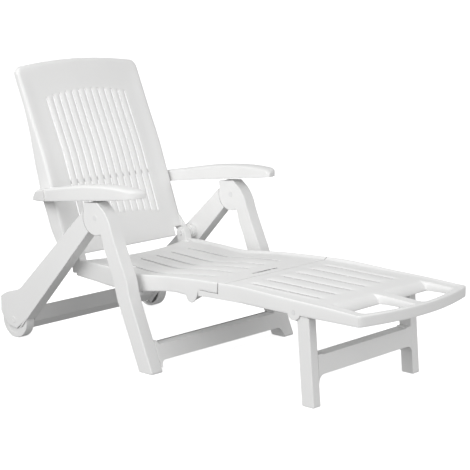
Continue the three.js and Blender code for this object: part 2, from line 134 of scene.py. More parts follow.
def inset(points, d):
    """A closed anticlockwise outline moved inwards by d, with mitred corners."""
    n = len(points)
    out = []
    for i in range(n):
        p, a, b = (Vector(points[j % n]) for j in (i, i - 1, i + 1))
        e1, e2 = (p - a).normalized(), (b - p).normalized()
        n1, n2 = Vector((-e1.y, e1.x)), Vector((-e2.y, e2.x))
        k = d / max(MITRE, 1 + n1.dot(n2))
        out.append(tuple(p + (n1 + n2) * k))
    return out


def shifted(points, d):
    """An open line moved to its left by d, with mitred corners."""
    out = []
    n = len(points)
    for i in range(n):
        p = Vector(points[i])
        e1 = (p - Vector(points[i - 1])).normalized() if i else None
        e2 = (Vector(points[i + 1]) - p).normalized() if i + 1 < n else None
        e1, e2 = e1 or e2, e2 or e1
        n1, n2 = Vector((-e1.y, e1.x)), Vector((-e2.y, e2.x))
        out.append(tuple(p + (n1 + n2) * (d / max(MITRE, 1 + n1.dot(n2)))))
    return out


def strip(points, d):
    return list(points) + shifted(points, d)[::-1]


def between(a, b, t):
    return (a[0] + (b[0] - a[0]) * t, a[1] + (b[1] - a[1]) * t)


# ---------------------------------------------------------------- meshes
ROUNDING = 3  # steps round the edge of a prism
SOFT_EDGE = 1.0
SHARP_ANGLE = 38


def new_object(name, verts, faces):
    mesh = bpy.data.meshes.new(name)
    mesh.from_pydata([tuple(c * MM for c in v) for v in verts], [], faces)
    obj = bpy.data.objects.new(name, mesh)
    bpy.context.scene.collection.objects.link(obj)
    return obj


def prism(points, a, b, r=0.0, axis="x", r_a=None):
    """A solid with the closed outline `points`, from a to b along axis, its end edges rounded by r.
    The outline is (y, z) for axis x, (x, y) for z and (x, z) for y. r_a is the rounding at a, if not r."""
    pts = list(points)
    if area(pts) < 0:
        pts = pts[::-1]
    rings = []
    r_a = r if r_a is None else r_a

    def ring(outline, at):
        rings.append([place(p, at, axis) for p in outline])

    for k in range(ROUNDING + 1 if r_a else 1):
        t = math.pi / 2 * (k / ROUNDING if r_a else 1)
        ring(inset(pts, r_a * (1 - math.sin(t))), a + r_a * (1 - math.cos(t)))
    for k in range(ROUNDING + 1 if r else 1):
        t = math.pi / 2 * (1 - (k / ROUNDING if r else 0))
        ring(inset(pts, r * (1 - math.sin(t))), b - r * (1 - math.cos(t)))
    n = len(pts)
    verts = [v for rg in rings for v in rg]
    faces = [tuple(reversed(range(n))), tuple((len(rings) - 1) * n + i for i in range(n))]
    for k in range(len(rings) - 1):
        for i in range(n):
            j = (i + 1) % n
            faces.append((k * n + i, k * n + j, (k + 1) * n + j, (k + 1) * n + i))
    if axis == "y":
        faces = [tuple(reversed(f)) for f in faces]
    return new_object("tmp", verts, faces)


def place(p, at, axis):
    if axis == "x":
        return (at, p[0], p[1])
    if axis == "y":
        return (p[0], at, p[1])
    return (p[0], p[1], at)


def sided(s, points, a, b, r=0.0, r_in=None):
    """A prism along X between two distances from the centre plane, on side s, rounded by r at the
    outer end and by r_in at the inner one."""
    r_in = r if r_in is None else r_in
    if s < 0:
        return prism(points, -b, -a, r=r_in, r_a=r)
    return prism(points, a, b, r=r, r_a=r_in)


def disc(s, centre, radius, a, b, r=0.0, r_in=None, n=48):
    return sided(s, arc(centre, radius, 0, 360 - 360 / n, n - 1), a, b, r, r_in)


def box(x0, x1, y0, y1, z0, z1):
    return prism([(x0, y0), (x1, y0), (x1, y1), (x0, y1)], z0, z1, axis="z")


def combine(base, adds=(), cuts=(), common=()):
    """Boolean union, difference and intersection of closed solids, applied to the mesh."""
    others = []
    for operation, group in (("UNION", adds), ("DIFFERENCE", cuts), ("INTERSECT", common)):
        for other in group:
            modifier = base.modifiers.new("b", "BOOLEAN")
            modifier.operation = operation
            modifier.solver = "MANIFOLD"
            modifier.object = other
            others.append(other)
    bake(base)
    for other in others:
        bpy.data.objects.remove(other)
    return base


def bake(obj):
    """Applies every modifier to the mesh."""
    bpy.context.view_layer.update()
    dg = bpy.context.evaluated_depsgraph_get()
    mesh = bpy.data.meshes.new_from_object(obj.evaluated_get(dg), depsgraph=dg)
    obj.modifiers.clear()
    obj.data = mesh
    return obj


def soften(obj):
    """Rounds the sharp edges that the booleans left."""
    bevel = obj.modifiers.new("soft", "BEVEL")
    bevel.width = SOFT_EDGE * MM
    bevel.segments = 2
    bevel.limit_method = "ANGLE"
    bevel.angle_limit = math.radians(50)
    bevel.use_clamp_overlap = True
    bevel.miter_outer = "MITER_ARC"
    return bake(obj)


def finish_piece(obj, name, body, material, nodes, angle=SHARP_ANGLE):
    """Names and dresses a piece, puts it on its body, and hides the CAD nodes that it stands for."""
    obj.name = name
    obj.data.name = name
    obj.data.materials.clear()
    obj.data.materials.append(material)
    obj.data.shade_smooth()
    obj.data.set_sharp_from_angle(angle=math.radians(angle))
    flat = obj.modifiers.new("flat_faces", "WEIGHTED_NORMAL")
    flat.keep_sharp = True
    flat.weight = 100
    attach(obj, body)
    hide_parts(*nodes)


SIDES = ((-1, "left"), (1, "right"))


# ---------------------------------------------------------------- materials
def plastic(name, colour, rough, grain=1.0):
    """Moulded plastic: a faint mottle in tone and gloss, a fine grain, and slow ripples from the mould."""
    mat = bpy.data.materials.new(name)
    mat.use_nodes = True
    nodes, links = mat.node_tree.nodes, mat.node_tree.links
    shader = nodes["Principled BSDF"]
    coords = nodes.new("ShaderNodeTexCoord")

    def noise(scale, detail, roughness=0.5):
        node = nodes.new("ShaderNodeTexNoise")
        node.inputs["Scale"].default_value = scale
        node.inputs["Detail"].default_value = detail
        node.inputs["Roughness"].default_value = roughness
        links.new(coords.outputs["Object"], node.inputs["Vector"])
        return node

    mottle = noise(7.0, 4)
    ramp = nodes.new("ShaderNodeValToRGB")
    ramp.color_ramp.elements[0].position = 0.3
    ramp.color_ramp.elements[1].position = 0.7
    ramp.color_ramp.elements[0].color = (*[c * 0.975 for c in colour], 1)
    ramp.color_ramp.elements[1].color = (*colour, 1)
    links.new(mottle.outputs["Fac"], ramp.inputs["Fac"])
    links.new(ramp.outputs["Color"], shader.inputs["Base Color"])

    streak = noise(38.0, 5, 0.6)
    spread = nodes.new("ShaderNodeMapRange")
    spread.inputs["From Min"].default_value = 0.3
    spread.inputs["From Max"].default_value = 0.7
    spread.inputs["To Min"].default_value = rough - 0.05
    spread.inputs["To Max"].default_value = rough + 0.06
    links.new(streak.outputs["Fac"], spread.inputs["Value"])
    links.new(spread.outputs["Result"], shader.inputs["Roughness"])

    ripple = nodes.new("ShaderNodeBump")
    ripple.inputs["Strength"].default_value = 0.12
    ripple.inputs["Distance"].default_value = 0.0012
    links.new(noise(16.0, 1).outputs["Fac"], ripple.inputs["Height"])
    fine = nodes.new("ShaderNodeBump")
    fine.inputs["Strength"].default_value = 0.22 * grain
    fine.inputs["Distance"].default_value = 0.0002
    links.new(noise(900.0, 2, 0.7).outputs["Fac"], fine.inputs["Height"])
    links.new(ripple.outputs["Normal"], fine.inputs["Normal"])
    links.new(fine.outputs["Normal"], shader.inputs["Normal"])
    shader.inputs["IOR"].default_value = 1.49
    shader.inputs["Subsurface Weight"].default_value = 0.0
    shader.inputs["Specular IOR Level"].default_value = 0.45
    return mat


SHELL = plastic("moulded_white", (0.86, 0.86, 0.855), 0.42)
LEG = plastic("moulded_white_frame", (0.86, 0.86, 0.855), 0.4)
WHEEL_MAT = plastic("moulded_white_wheel", (0.84, 0.84, 0.835), 0.46, grain=1.6)
PIN = plastic("moulded_white_pin", (0.80, 0.80, 0.80), 0.48)

# ---------------------------------------------------------------- side outlines, (y, z) in millimetres
WALL = 4.0
FRONT_EDGE = spline([(21, 0), (73, 119), (124, 238), (138, 292), (163, 347), (188, 401), (206, 443),
                     (218, 476), (235, 502), (252, 519), (268, 531), (276, 536.5)], 3)
FRONT_REAR = [(258, 429), (246, 384), (230, 351), (203, 286), (185, 226), (86, 0)]
FRONT_RIBS = [((24, 62), (112, 62)), ((70, 148), (152, 148)), ((112, 236), (186, 214)),
              ((128, 318), (214, 286)), ((160, 352), (236, 352)), ((236, 505), (290, 470))]
REAR_TOP = [(344, 504), (518, 344), (680, 193)]
FENDER = [(694, 183), (719, 173), (754, 164.5), (780, 153), (797, 141), (797.5, 86)]
OUTER_FOOT = [(784, 68), (753, 42), (712, 36)]
INNER_FOOT = [(773, 98), (744, 49), (711, 14)]
REAR_FRONT = [(648, 86), (453, 293), (318, 437)]
# Distances of each piece's inner and outer face from the centre plane.
LEG_IN, LEG_OUT = 303, 352
REAR_IN, REAR_OUT = 304, 351
FOOT_LEG_IN, FOOT_LEG_OUT = 235, 269.2
WHEEL_IN, WHEEL_OUT = 309.5, 345.5
# Radii of the bores round the CAD's pins.
APEX_BORE = 9.3
HINGE_BORE = 8.3
SMALL_BORE = 7.3
FOOTREST_BORE = 6.3
RIB = 3
SPOKES = 6
GUSSET = 1.7  # half the thickness of a gusset in a cross bar
END_GAP = 0.3  # between a cross bar and the legs


def front_leg(s, name):
    outline = [*FRONT_EDGE, (348, 529), (341, 503), *arc(APEX, 58.5, 14, -116, 30), *FRONT_REAR]
    outline = fillet(outline, 7)
    inner = shifted(FRONT_EDGE, -4.5)
    low = [p for p in inner if p[1] > 6 and p[1] < 402]
    high = [p for p in inner if p[1] > 396]
    shin = [(25.5, 6), *low, (290, 398), (240, 280), (110, 6)]
    head = [*high, (284, 560), (375, 560), (375, 390), (225, 390)]
    leg = sided(s, outline, LEG_IN, LEG_OUT, r=3.2, r_in=2.2)
    cuts = [sided(s, shin, LEG_IN + WALL, LEG_OUT - WALL), sided(s, head, LEG_IN + 7, LEG_OUT - 7),
            disc(s, APEX, APEX_BORE, LEG_IN - 5, LEG_OUT - 9, n=32)]
    leg = combine(leg, cuts=cuts)
    bounds = [*FRONT_EDGE[:22], *FRONT_REAR]
    ribs = []
    for a, b in FRONT_RIBS:
        rib = sided(s, strip([a, b], RIB), LEG_IN + 1, LEG_OUT - 1)
        limit = bounds if b[1] < 400 else [*FRONT_EDGE, (330, 500), (258, 429), *FRONT_REAR]
        ribs.append(combine(rib, common=[sided(s, limit, LEG_IN, LEG_OUT)]))
    lug = sided(s, fillet([(322, 530), (343, 528.5), (338, 511), (318, 515)], 3), LEG_IN + 5, LEG_OUT - 5)
    leg = combine(leg, adds=[*ribs, lug])
    boss = disc(s, APEX, 13, LEG_OUT - 6, LEG_OUT + 0.5, r=1.0, n=40)
    dimple = disc(s, APEX, 3.2, LEG_OUT - 1.6, LEG_OUT + 3, n=24)
    leg = combine(leg, adds=[boss], cuts=[dimple])
    finish_piece(leg, f"front_leg_shell_{name}", "front_frame", LEG,
                 [f"front_leg_{name}", f"catch_pin_{name}"])


def rear_leg(s, name):
    outer = fillet([*REAR_TOP, *FENDER, *OUTER_FOOT, *REAR_FRONT], 6)
    inner = fillet([*REAR_TOP, *INNER_FOOT, *REAR_FRONT], 6)
    a, b = REAR_IN, REAR_OUT
    web = strip([(690, 44), *REAR_FRONT], -5)
    arch = strip([REAR_TOP[2], *spline(FENDER[:5], 3), FENDER[5]], -WALL)
    plate_out = sided(s, outer, b - WALL, b, r=2.6, r_in=0.4)
    plate_in = sided(s, inner, a, a + WALL, r=0.4, r_in=2.0)
    adds = [plate_in, sided(s, web, a + 1, b - 1, r=0.8), sided(s, arch, b - 40, b - 1, r=0.8),
            disc(s, BACK_PIVOT, 15, a + 2, b - 2)]
    for t in (0.10, 0.24, 0.38, 0.52, 0.66, 0.80, 0.93):
        low = between((318, 437), (648, 86), t)
        high = between((344, 504), (680, 193), t)
        rib = strip([between(low, high, 0.04), between(low, high, 0.9)], RIB)
        adds.append(sided(s, rib, a + 1, b - 1))
    notch = disc(s, APEX, 60, a - 5, b + 5, n=96)
    well = disc(s, WHEEL, 69.5, a + WALL, b - WALL, n=72)
    leg = combine(plate_out, adds=adds, cuts=[notch, well])
    tongue = [*arc(APEX, 42, -60, -290, 40), (344, 503), (372, 477), (352, 400), (318, 437)]
    spacer = disc(s, BACK_PIVOT, 26, 284.6, a + 1, r=0.6, r_in=3.0, n=64)
    leg = combine(leg, adds=[sided(s, tongue, 311, 344), spacer],
                  cuts=[disc(s, APEX, APEX_BORE, a - 5, b + 5, n=32),
                        disc(s, BACK_PIVOT, HINGE_BORE, 280, b - WALL, n=32),
                        disc(s, WHEEL, HINGE_BORE, a - 5, b - 1.5, n=32)])
    hub = combine(disc(s, WHEEL, 12, b - 2, b + 1.2, r=1.0, n=40),
                  cuts=[disc(s, WHEEL, 3, b - 0.5, b + 3, n=24)])
    leg = combine(leg, adds=[hub])
    finish_piece(leg, f"rear_leg_shell_{name}", "rear_frame", LEG,
                 [f"rear_leg_{name}", f"wheel_axle_{name}"])


def rear_stretcher():
    half = REAR_IN - END_GAP
    line = [(690, 101), (660, 118), (689, 55), (728, 21), (740, 30)]
    wall = prism(strip(line, WALL), -half, half, r=0.6)
    gusset = [(664, 115), (691, 57), (728.5, 23.5), (736, 30.5), (716, 88), (690, 99)]
    adds = [prism(gusset, x - GUSSET, x + GUSSET) for x in range(-240, 241, 60)]
    adds += [sided(s, gusset, half - 5, half) for s in (-1, 1)]
    ear = fillet([(653, 130), (668, 132), (700, 96), (690, 62), (680, 72)], 5)
    adds += [sided(s, ear, half - 16, half - 0.2, r=0.8) for s in (-1, 1)]
    finish_piece(combine(wall, adds=adds), "rear_stretcher_shell", "rear_frame", LEG, ["rear_stretcher"],
                 angle=15)


def flared(half, reach, up, down, low, high):
    """Front outline (x, z) of a cross bar whose ends spread up and down against the legs."""
    right = [(half - reach, high), *arc((half - reach, high + up), up, -90, 0, 8)]
    right = [(x if x < half else half, z) for x, z in right]
    lower = [*arc((half - reach, low - down), down, 0, 90, 8), (half - reach, low)]
    line = [*right, (half, high + up), (half, low - down), *lower]
    return line + [(-x, z) for x, z in line[::-1]]


def clean(points, least=0.05):
    """The outline without places that fall together."""
    out = []
    for p in points:
        if not out or (Vector(p) - Vector(out[-1])).length > least:
            out.append(p)
    if (Vector(out[0]) - Vector(out[-1])).length <= least:
        out.pop()
    return out


def front_stretcher():
    half = LEG_IN - END_GAP
    face = clean(flared(half, 25, 14, 20, 37, 85))
    tall = prism([(98, 96), (63.5, 101), (26, 14), (60, 4)], -half, half, r=0.5)
    plate = combine(prism(face, 0, 120, axis="y"), common=[tall])
    back = [(124.5, 110), (71.5, 110), (69, 96), (32, 8), (54.5, -10), (124.5, -10)]
    hollow = combine(prism(clean(flared(half - 4, 25, 14, 20, 41, 81)), 0, 130, axis="y"),
                     common=[prism(back, -half, half)])
    plate = combine(plate, cuts=[hollow])
    gusset = [(92, 80), (60, 83), (41, 39), (78, 32)]
    adds = [prism(gusset, x - GUSSET, x + GUSSET) for x in range(-225, 226, 75)]
    finish_piece(soften(combine(plate, adds=adds)), "front_stretcher_shell", "front_frame", LEG,
                 ["front_stretcher"])


def foot_leg(s, name):
    outline = fillet([(-537, 0), (-584, 0), (-561, 270), (-541, 299), *arc(FOOT_LEG_PIVOT, 24, 120, -70, 20),
                      (-515, 258)], 5)
    a, b = FOOT_LEG_IN, FOOT_LEG_OUT
    leg = sided(s, outline, a, b, r=2.6)
    pocket = [(-490, 5), (-579.3, 5), (-557.3, 262), (-490, 262)]
    leg = combine(leg, cuts=[sided(s, pocket, 238.8, 265.4),
                             disc(s, FOOT_LEG_PIVOT, SMALL_BORE, a - 5, 275, n=32)])
    ribs = [combine(sided(s, strip([(-590, z), (-505, z)], RIB), a + 1, b - 1),
                    common=[sided(s, outline, a + 1, b - 1)])
            for z in (55, 110, 165, 220)]
    leg = combine(leg, adds=ribs)
    finish_piece(leg, f"foot_leg_shell_{name}", "foot_leg_frame", LEG, [f"foot_leg_{name}"])


def foot_stretcher():
    half = FOOT_LEG_IN - END_GAP
    face = clean(flared(half, 24, 3, 24, 95, 155))
    slab = prism([(-530, 165), (-569.6, 165), (-578.3, 60), (-530, 60)], -half, half)
    plate = combine(prism(face, -600, -530, axis="y"), common=[slab])
    inner = prism([(-500, 165), (-565.2, 165), (-573.8, 60), (-500, 60)], -half, half)
    opening = clean(flared(half - 4, 24, 3, 24, 99, 151))
    hollow = combine(prism(opening, -600, -500, axis="y"), common=[inner])
    plate = combine(plate, cuts=[hollow])
    gusset = [(-532, 152), (-567, 152), (-571.6, 98), (-532, 98)]
    adds = [prism(gusset, x - GUSSET, x + GUSSET) for x in range(-180, 181, 60)]
    finish_piece(soften(combine(plate, adds=adds)), "foot_stretcher_shell", "foot_leg_frame", LEG,
                 ["foot_stretcher"])


def wheel(s, name):
    a, b = WHEEL_IN, WHEEL_OUT
    tyre = disc(s, WHEEL, 66, a, b, r=3.0, n=96)
    well = disc(s, WHEEL, 57, a - 1, b - 6, n=96)
    groove = combine(disc(s, WHEEL, 50, b - 1.2, b + 3, n=72), cuts=[disc(s, WHEEL, 22, b - 3, b + 5, n=64)])
    body = combine(tyre, cuts=[well, groove])
    adds = [disc(s, WHEEL, 15, a, b - 2, r=1.0, n=48),
            combine(disc(s, WHEEL, 34, a + 8, b - 4, n=64), cuts=[disc(s, WHEEL, 31, a, b - 5, n=64)])]
    for i in range(SPOKES):
        turn = 360 / SPOKES
        tip = arc(WHEEL, 60, (i + 0.25) * turn, 0, 1)[0]
        adds.append(sided(s, strip([WHEEL, tip], 3.6), a + 5, b - 3))
        tip = arc(WHEEL, 60, (i + 0.75) * turn, 0, 1)[0]
        adds.append(sided(s, strip([WHEEL, tip], 2.4), a + 14, b - 3))
    body = combine(body, adds=adds, cuts=[disc(s, WHEEL, 8.6, a - 3, b + 3, n=32)])
    finish_piece(body, f"wheel_shell_{name}", f"wheel_{name}", WHEEL_MAT, [f"wheel_{name}"])


for side_sign, side_name in SIDES:
    front_leg(side_sign, side_name)
    rear_leg(side_sign, side_name)
    foot_leg(side_sign, side_name)
    wheel(side_sign, side_name)
rear_stretcher()
front_stretcher()
foot_stretcher()


# ---------------------------------------------------------------- moulded trays
LEVELS = (0.1, 0.45, 0.8, 1.0)  # depths down a skirt, as parts of its height
SLOT = 4  # half the width of a slot in the seat and the footrest
BACK_SLOT = 1.2
LAST = 273  # the outermost column of the seat's and the footrest's top
SINK = 1.2  # how far a panel rolls down at a slot


def ease(a, b, t):
    """0 at a and 1 at b, with a smooth start and end."""
    t = min(1, max(0, (t - a) / (b - a)))
    return t * t * (3 - 2 * t)


def mirrored_columns(half):
    return [-x for x in half[::-1] if x > 0] + list(half)


def skirted(top, edge):
    """Grid columns across the top, with a skirt down each side at the distance `edge`."""
    return [(-edge, v) for v in LEVELS[::-1]] + [(x, 0) for x in top] + [(edge, v) for v in LEVELS]


def tray(cols, rows, point, hole, wall=WALL):
    """A moulded shell: quads between places on a grid of columns and rows, thickened inwards and
    smoothed once. Corners where two skirts meet share their places."""
    index, verts, faces = {}, [], []

    def vertex(col, row):
        place_mm = point(col, row)
        if place_mm is None:
            return None
        key = tuple(round(c, 2) for c in place_mm)
        if key not in index:
            index[key] = len(verts)
            verts.append(place_mm)
        return index[key]

    for j in range(len(rows) - 1):
        for i in range(len(cols) - 1):
            if hole(cols[i], cols[i + 1], rows[j], rows[j + 1]):
                continue
            corners = [vertex(cols[i], rows[j]), vertex(cols[i + 1], rows[j]),
                       vertex(cols[i + 1], rows[j + 1]), vertex(cols[i], rows[j + 1])]
            if None not in corners and len(set(corners)) == 4:
                faces.append(corners)
    obj = new_object("tmp", verts, faces)
    drop_loose(obj)
    solid = obj.modifiers.new("wall", "SOLIDIFY")
    solid.thickness = wall * MM
    solid.offset = -1
    solid.use_even_offset = True
    smooth = obj.modifiers.new("smooth", "SUBSURF")
    smooth.levels = 1
    return bake(obj)


def drop_loose(obj):
    """Removes places that only an opening used."""
    mesh = bmesh.new()
    mesh.from_mesh(obj.data)
    bmesh.ops.delete(mesh, geom=[v for v in mesh.verts if not v.link_faces], context="VERTS")
    mesh.to_mesh(obj.data)
    mesh.free()


SEAT_TOP = [(474, 304), (455, 307), (316, 306), (174, 301), (109, 308), (5, 318), (-76, 323), (-192, 328)]
SEAT_PANEL = [(474, 300), (430, 299), (316, 296), (174, 290), (109, 298), (5, 309), (-76, 314), (-192, 320)]
SEAT_BOTTOM = [(-19, 268), (30, 265), (88, 256), (151, 246), (211, 240), (289, 238), (369, 244), (474, 251)]
RAIL = 274


def seat_slot_shift(x, y):
    """How far a lengthwise line at x bends sideways at y, following the waisted slots."""
    t = min(1, max(0, (y + 73) / 450))
    bow = 4 * t * (1 - t)
    inner = 8 * (1 - t) ** 2 - 4 * bow
    outer = -16 * bow
    line = [(0, 0), (75, inner), (161, outer), (225, 0), (RAIL, 0)]
    for (x0, s0), (x1, s1) in zip(line, line[1:]):
        if x0 <= abs(x) <= x1:
            return math.copysign(s0 + (s1 - s0) * (abs(x) - x0) / (x1 - x0), x)
    return 0


def near_slot(x, centres, half):
    return any(abs(abs(x) - c) < half for c in centres)


def crown(x, centres, height):
    """Height of the panel between slots: rolled down at each slot's edge, raised between two slots."""
    if abs(x) > centres[-1] + SLOT + 18:
        return 0
    d = min(abs(abs(x) - c) - SLOT for c in centres)
    if d <= 0.01:
        return -SINK
    return height * min(1, d / 16) - SINK * max(0, 1 - d / 3)


def rail_height(panel, top, x, y):
    """Height of the seat or footrest at x: the panel, rising to the side rail with its rolled edge."""
    rise = ease(252, 268, abs(x))
    z = curve_at(panel, y) * (1 - rise) + curve_at(top, y) * rise
    return z - 1.6 * ease(269, 273.5, abs(x))


def seat():
    centres = (0, 75, 161)
    half = [0, 4, 7, 20, 37.5, 57, 68, 71, 79, 82, 98, 118, 138, 154, 157, 165, 168, 185, 205, 225, 243,
            251, 257, 262, 266, 270, LAST]
    cols = skirted([x for x in mirrored_columns(half) if x != 0], RAIL)
    ys = [-191, -188, -182, -166, -156, -142, -130, -118, -110, -101, -95, -88, -80, -76, -73, -69, -62,
          -54, -40, -20, 5, 35, 70, 109, 140, 174, 215, 255, 300, 345, 370, 377, 381, 390, 410, 440, 462,
          470, 474]
    rows = ([(-191, v) for v in LEVELS[::-1]] + [(y, 0) for y in ys] + [(474, 0.12), (474, 0.5), (474, 1)])

    def bottom(y):
        if y <= -105:
            return 292.5
        if y <= -54:
            dy = min(22, abs(y + 76))
            return 266 - math.sqrt(22 ** 2 - dy ** 2) if dy < 21.9 else 268
        if y < -19:
            return 263 + 5 * (y + 54) / 35
        return curve_at(SEAT_BOTTOM, y)

    def height(x, y):
        fade = ease(-100, -60, y) * (1 - ease(370, 400, y))
        return rail_height(SEAT_PANEL, SEAT_TOP, x, y) + crown(x, centres, 2.4) * fade

    def point(col, row):
        (x, side), (y, end) = col, row
        if side and end:
            return None
        if side:
            top_z, low = height(LAST, y), bottom(y)
            y_low = {-110: -107.5, -101: -105.5}.get(y, y) if side == 1 else y
            return (x, y_low, top_z - (top_z - low) * side)
        reach = max(0, 1 - (x / 243) ** 2)
        y_at = y - 48 * reach * ease(330, 474, y)
        x_at = x + seat_slot_shift(x, y)
        if end and y < 0:
            top_z = height(x, y)
            return (math.copysign(RAIL, x) if abs(x) == LAST else x_at, y, top_z - (top_z - 292.5) * end)
        if end:
            return (x_at, y_at + 1.5 * (1 - abs(2 * end - 1)), height(x, y) - 28 * end)
        return (x_at, y_at, height(x, y))

    def hole(c0, c1, r0, r1):
        if c0[1] or c1[1]:
            return False
        x, y = (c0[0] + c1[0]) / 2, (r0[0] + r1[0]) / 2
        if r0[1] == 0 and r1[1] == 0:
            if abs(x) < 57 and -156 < y < -142:
                return True
            return -73 < y < 377 and near_slot(x, centres, SLOT)
        return abs(x) > 243 and y > 0

    body = tray(cols, rows, point, hole)
    below = shifted([(y, curve_at(SEAT_PANEL, y)) for y in (*range(-190, 371, 70), 424)], -2)
    deep = [(y, z - 20 + 6 * ease(200, 424, y)) for y, z in below]
    adds = [prism(below + deep[::-1], x - 1.5, x + 1.5) for x in (-210, -118, -38, 38, 118, 210)]
    for y in (96, -42):
        z = curve_at(SEAT_PANEL, y) - 2.5
        adds.append(box(-RAIL + 1.5, RAIL - 1.5, y, y + 3, z - 26, z))
    for s in (-1, 1):
        ear = [*arc(BACK_PIVOT, 22, -20, 148, 20), (452, 303), (430, 300), (436, 262), (492, 258)]
        ear = sided(s, fillet(ear, 4), 243, RAIL, r=2.5)
        pocket = [(425, 240), (474, 240), (474, 293), (425, 293)]
        adds.append(combine(ear, cuts=[disc(s, BACK_PIVOT, HINGE_BORE, 238, 280, n=32),
                                       sided(s, pocket, 247, 270)]))
        adds.append(disc(s, FOOTREST_PIVOT, 20, 268, RAIL - 0.4, n=48))
    bores = [disc(s, FOOTREST_PIVOT, FOOTREST_BORE, 262, 272, n=32) for s in (-1, 1)]
    body = combine(body, adds=adds, cuts=bores)
    finish_piece(body, "seat_shell", "seat", SHELL, ["seat_panel"])


FOOT_TOP = [(-194, 328), (-280, 331), (-452, 325), (-640, 320), (-752, 315)]
FOOT_BOTTOM = [(-752, 280), (-453, 277), (-289, 278), (-194, 283)]
FOOT_PANEL = [(-195, 320), (-280, 321), (-452, 319), (-600, 317.5), (-752, 310)]
BAR_FRONT = [(0, -798), (59, -796), (119, -789), (174, -779), (225, -767), (262, -756.5), (270, -752.5),
             (RAIL, -748)]
BAR_REAR = [(0, -773), (60, -771), (119, -763), (174, -750), (222, -736), (RAIL, -724)]
BAR_SECTION = [(0, 290), (0, 305), (2.5, 312), (8, 315)]  # (in from the bar's rear edge, height)
BAR_ROUND = {4: (0.5, 315), 5: (0.82, 315), 6: (0.96, 313.5), 7: (1.0, 309.5)}  # part of the width, height
GRIP = (25, 219)
FOOT_END = -195
FOOT_END_LOW = 291.5
ROLL = [(-617, 313.5), (-628, 307), (-636, 298), (-641, 289)]


def footrest():
    centres = (36, 110, 183)
    half = [11, 18, 22, 25, 29, 32, 40, 43, 55, 73, 91, 103, 106, 114, 117, 130, 147, 165, 176, 179, 187,
            190, 203, 214, 219, 222, 230, 240, 251, 257, 262, 266, 270, LAST]
    cols = skirted(mirrored_columns(half), RAIL)
    flat = [-610, -600, -580, -560, -545, -537, -533, -529, -515, -480, -430, -380, -330, -290, -262,
            -258, -254, -250, -240, -225, -210, -200, -197.5, FOOT_END]
    rows = [("front", v) for v in LEVELS[::-1]] + [("bar", k) for k in (7, 6, 5, 4, 3, 2, 1, 0)]
    rows += [("roll", k) for k in (3, 2, 1, 0)] + [("flat", y) for y in flat] + [("rear", v) for v in LEVELS]

    def height(x, y):
        fade = ease(-555, -530, y) * (1 - ease(-256, -236, y))
        return rail_height(FOOT_PANEL, FOOT_TOP, x, y) + crown(x, centres, 3.0) * fade

    def in_grip(x):
        return GRIP[0] <= abs(x) <= GRIP[1]

    def bar(x, k):
        rear, front = curve_at(BAR_REAR, abs(x)), curve_at(BAR_FRONT, abs(x))
        if k <= 3 and in_grip(x):
            inward, z = BAR_SECTION[k]
            return (x, rear - inward, z)
        if k <= 3:
            y = rear - 8 + (3 - k) * 9
            z = height(x, y) if k < 2 else height(x, y) * 0.5 + 157.5
            return (x, y, z)
        inward, z = BAR_ROUND[k]
        return (x, rear - 8 + (front - rear + 8) * inward, z)

    def point(col, row):
        (x, side), (kind, v) = col, row
        if side:
            if kind in ("front", "rear"):
                return None
            edge = point((math.copysign(LAST, x), 0), row)
            y = edge[1]
            low = curve_at(FOOT_BOTTOM, y)
            if kind == "flat" and y == FOOT_END:
                low = FOOT_END_LOW
            return (x, y, edge[2] - (edge[2] - low) * side)
        corner = math.copysign(RAIL, x) if abs(x) == LAST else x
        if kind == "front":
            edge = bar(x, 7)
            return (corner, edge[1], edge[2] - (edge[2] - 280) * v)
        if kind == "bar":
            return bar(x, v)
        if kind == "roll":
            if in_grip(x):
                return (x, *ROLL[v])
            y = -617 - 13 * v
            return (x, y, height(x, y))
        if kind == "rear":
            top_z = height(x, FOOT_END)
            return (corner, FOOT_END, top_z - (top_z - FOOT_END_LOW) * v)
        return (x, v, height(x, v))

    def hole(c0, c1, r0, r1):
        if c0[1] or c1[1]:
            return False
        x = (c0[0] + c1[0]) / 2
        if in_grip(x) and r0 == ("bar", 0):
            return True
        if r0[0] == "flat" and r1[0] == "flat":
            return -533 < (r0[1] + r1[1]) / 2 < -254 and near_slot(x, centres, SLOT)
        return False

    body = tray(cols, rows, point, hole)
    below = shifted([(y, curve_at(FOOT_PANEL, y)) for y in (-600, -530, -460, -390, -320, -250, -196)], -2)
    deep = [(y, z - 18) for y, z in below]
    adds = [prism(below + deep[::-1], x - 1.5, x + 1.5) for x in (-217, -147, -73, 0, 73, 147, 217)]
    z = curve_at(FOOT_PANEL, -404) - 2.5
    adds.append(box(-RAIL + 1.5, RAIL - 1.5, -404, -401, z - 22, z))
    for s in (-1, 1):
        arm = [(-240, 318), (-203, 318), (-194, 290), (-110, 289), *arc(FOOTREST_PIVOT, 17, 80, -100, 16),
               (-120, 273), (-240, 285)]
        adds.append(sided(s, fillet(arm, 3), 256, 261, r=0.8))
        adds.append(disc(s, FOOT_LEG_PIVOT, 24.5, 270.4, RAIL, r=1.2, r_in=0.4, n=64))
        rail = [(-290, 290), (-204, 290), (-194, 291.5), (-109, 291.5), (-109, 272.5), (-147, 274),
                (-289, 278)]
        adds.append(sided(s, rail, 270, RAIL, r=0.6))
    cuts = [disc(s, FOOTREST_PIVOT, FOOTREST_BORE, 250, 265, n=32) for s in (-1, 1)]
    cuts += [disc(s, FOOT_LEG_PIVOT, SMALL_BORE, 266, 280, n=32) for s in (-1, 1)]
    cuts.append(box(-215.5, -214.5, -800, -740, 314.2, 320))
    body = combine(body, adds=adds, cuts=cuts)
    finish_piece(body, "footrest_shell", "footrest", SHELL, ["footrest_panel"])


